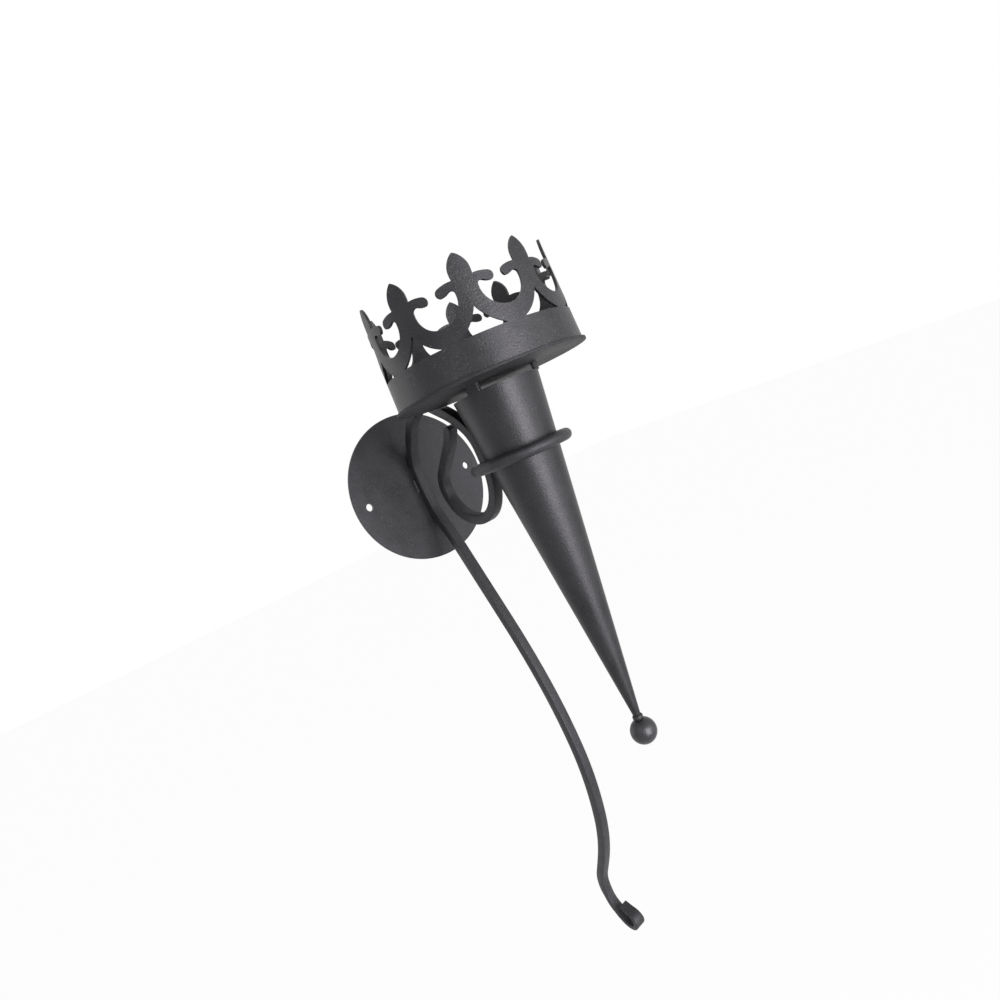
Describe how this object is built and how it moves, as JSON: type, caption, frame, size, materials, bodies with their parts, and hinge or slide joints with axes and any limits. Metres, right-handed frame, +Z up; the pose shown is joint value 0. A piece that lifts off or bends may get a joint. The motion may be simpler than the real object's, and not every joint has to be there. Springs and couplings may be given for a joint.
{
  "type": "torch wall sconce",
  "caption": "Black iron wall sconce: a scrolled square bar on a round plate holds a torch-shaped cone with a lily crown in a ring.",
  "frame": {"origin": "centre of the wall plate's back face, where it meets the wall", "axes": "+Z up, +Y into the wall, -Y toward the room, +X to the right seen from the room"},
  "size_m": [0.139, 0.2245, 0.5572],
  "materials": {
    "plate_iron": "satin",
    "bar_iron": "satin",
    "ring_iron": "satin",
    "weld_iron": "satin",
    "cone_iron": "satin",
    "tab_iron": "satin",
    "disc_iron": "satin",
    "band_iron": "satin",
    "ball_iron": "satin"
  },
  "bodies": {
    "bracket": {"wall_plate": "plate_iron", "scroll_arm": "bar_iron", "plate_weld_left": "weld_iron", "plate_weld_right": "weld_iron", "holder_ring": "ring_iron", "ring_weld_upper": "weld_iron", "ring_weld_lower": "weld_iron"},
    "torch": {"torch_cone": "cone_iron", "rim_tab_1": "tab_iron", "rim_tab_2": "tab_iron", "rim_tab_3": "tab_iron", "crown_disc": "disc_iron", "crown_band": "band_iron", "finial_stub": "weld_iron", "finial_weld": "weld_iron", "ball_finial": "ball_iron"}
  },
  "joints": [
    {"name": "torch_lift", "type": "slide", "parent": "bracket", "child": "torch", "axis": [0, 0, 1], "range_m": [0, 0.25]}
  ]
}
